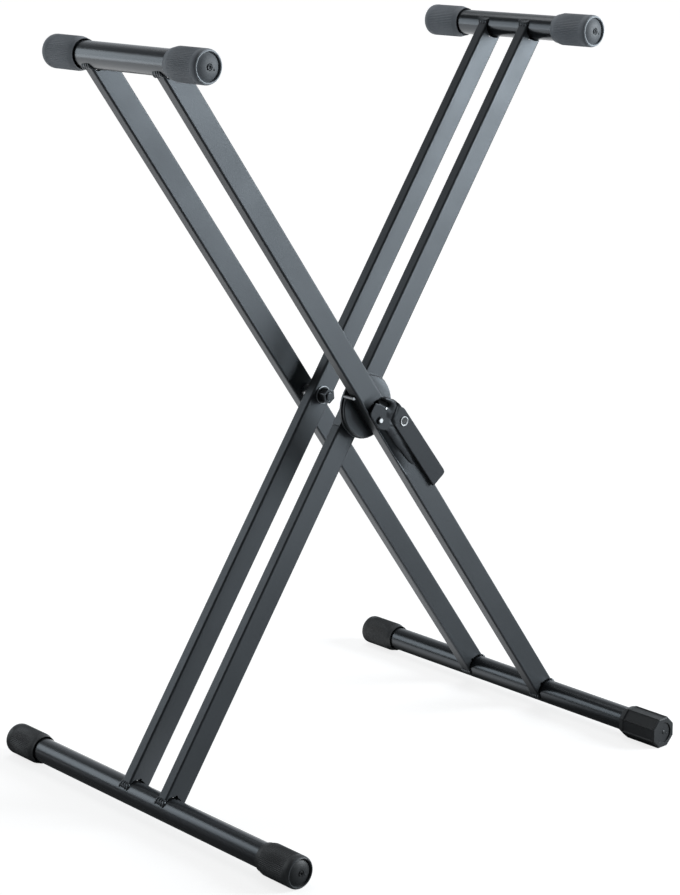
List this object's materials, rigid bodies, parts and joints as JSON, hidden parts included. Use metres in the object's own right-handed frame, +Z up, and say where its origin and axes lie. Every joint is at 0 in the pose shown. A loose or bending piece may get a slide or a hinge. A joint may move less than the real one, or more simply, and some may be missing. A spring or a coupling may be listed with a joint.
{
  "type": "folding keyboard stand",
  "caption": "Folding scissor stand with braced rectangular legs, round cross tubes with rubber end caps, and a squeeze lever on a toothed pivot clutch.",
  "frame": {"origin": "on the floor, under the middle of the stand", "axes": "+Z up, X the way the two frames spread, Y along the cross tubes, with the lever on the -Y side"},
  "size_m": [0.6326, 0.537, 0.888],
  "materials": {
    "leg_paint": "semi-gloss black powder coat",
    "tube_paint": "semi-gloss black powder coat",
    "cap_rubber": "matte, finely ribbed",
    "leveller_rubber": "matte",
    "cast_black": "satin black",
    "lever_black": "satin black",
    "black_steel": "black oxide",
    "zinc_steel": "bright zinc",
    "badge": "satin, plain"
  },
  "bodies": {
    "outer_frame": {"outer_leg_near": "leg_paint", "outer_leg_far": "leg_paint", "outer_top_tube": "tube_paint", "outer_base_tube": "tube_paint", "outer_top_cap_near": "cap_rubber", "outer_top_cap_far": "cap_rubber", "outer_base_cap_far": "cap_rubber", "outer_clutch_plate": "cast_black", "far_bolt": "black_steel", "far_bolt_washer": "black_steel", "far_nut_washer": "black_steel", "far_nut": "black_steel", "clutch_pin": "black_steel", "clutch_washer": "black_steel", "clutch_nut": "black_steel", "far_spacer": "zinc_steel", "outer_leg_bush": "zinc_steel", "anchor_pin": "zinc_steel", "lever_rivet": "zinc_steel", "release_spring": "zinc_steel"},
    "inner_frame": {"inner_leg_near": "leg_paint", "inner_leg_far": "leg_paint", "inner_top_tube": "tube_paint", "inner_base_tube": "tube_paint", "inner_top_cap_near": "cap_rubber", "inner_top_cap_far": "cap_rubber", "inner_base_cap_near": "cap_rubber", "inner_base_cap_far": "cap_rubber", "inner_leg_bush_far": "zinc_steel", "inner_leg_bush_near": "zinc_steel", "toothed_clutch_plate": "cast_black"},
    "lever": {"release_lever": "lever_black", "lever_hook_pin": "zinc_steel", "lever_badge": "badge", "lock_pawl": "black_steel"},
    "levelling_cap": {"levelling_cap": "leveller_rubber"}
  },
  "joints": [
    {"name": "frame_fold", "type": "hinge", "parent": "outer_frame", "child": "inner_frame", "pos_m": [0, 0, 0.44749], "axis": [0, 1, 0], "range_deg": [-64, 42]},
    {"name": "lever_squeeze", "type": "hinge", "parent": "outer_frame", "child": "lever", "pos_m": [0.0017, -0.07, 0.43346], "axis": [0, 1, 0], "range_deg": [0, 6.5], "stiffness_Nm_per_rad": 6, "springref_deg": -8.59, "deforming": ["release_spring"]},
    {"name": "levelling_cap_turn", "type": "hinge", "parent": "outer_frame", "child": "levelling_cap", "pos_m": [0.29725, -0.24, 0.019], "axis": [0, 1, 0], "continuous": true}
  ]
}
